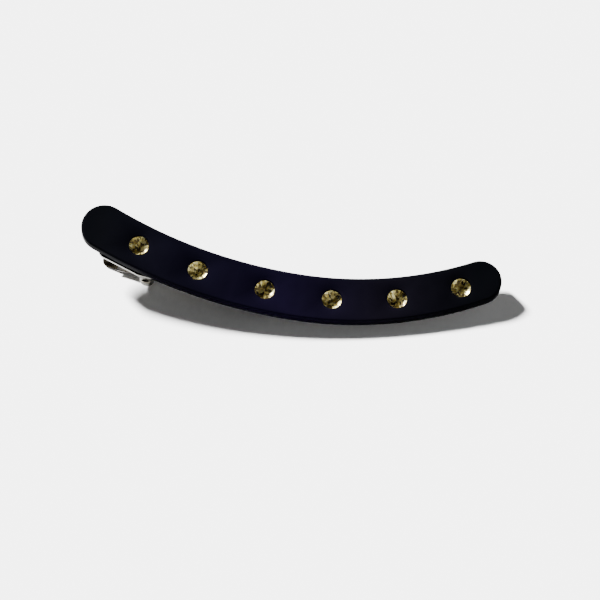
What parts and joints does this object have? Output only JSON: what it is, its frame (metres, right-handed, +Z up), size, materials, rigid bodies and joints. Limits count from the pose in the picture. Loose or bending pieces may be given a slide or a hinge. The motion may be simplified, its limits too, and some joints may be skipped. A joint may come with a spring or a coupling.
{
  "type": "hair barrette",
  "caption": "Flat curved hair barrette: a glossy dark sickle-shaped acetate cover set with a row of inset rhinestones, on a short sprung metal clip worked by a thumb lever.",
  "frame": {"origin": "centre of the bounding box's base, on the surface the barrette rests on", "axes": "+X along the length with the clip's tail at -X, +Y towards the cover's hollow side, +Z up, with the cover's face up and tilted as it rests"},
  "size_m": [0.1024, 0.0214, 0.014],
  "materials": {
    "acetate": "polished near-black navy acetate",
    "champagne_glass": "faceted, polished",
    "gold_foil": "bright foil",
    "cement": "cured clear cement",
    "glue": "cured translucent glue",
    "clip_steel": "nickel-plated, polished",
    "pin_steel": "polished",
    "spring_steel": "drawn spring strip"
  },
  "bodies": {
    "ornament": {"clip_adhesive": "glue", "cover": "acetate", "hinge_pin": "pin_steel", "rhinestone_1": "champagne_glass", "rhinestone_2": "champagne_glass", "rhinestone_3": "champagne_glass", "rhinestone_4": "champagne_glass", "rhinestone_5": "champagne_glass", "rhinestone_6": "champagne_glass", "spring": "spring_steel", "stone_cement": "cement", "stone_foil_1": "gold_foil", "stone_foil_2": "gold_foil", "stone_foil_3": "gold_foil", "stone_foil_4": "gold_foil", "stone_foil_5": "gold_foil", "stone_foil_6": "gold_foil", "upper_arm": "clip_steel"},
    "lever": {"lower_arm": "clip_steel"}
  },
  "joints": [
    {"name": "lever_hinge", "type": "hinge", "parent": "ornament", "child": "lever", "pos_m": [-0.03367, 0.00018, 0.00327], "axis": [0.1461, 0.944, 0.296], "range_deg": [0, 18], "stiffness_Nm_per_rad": 0.03, "springref_deg": -17.19, "deforming": ["spring"]}
  ]
}
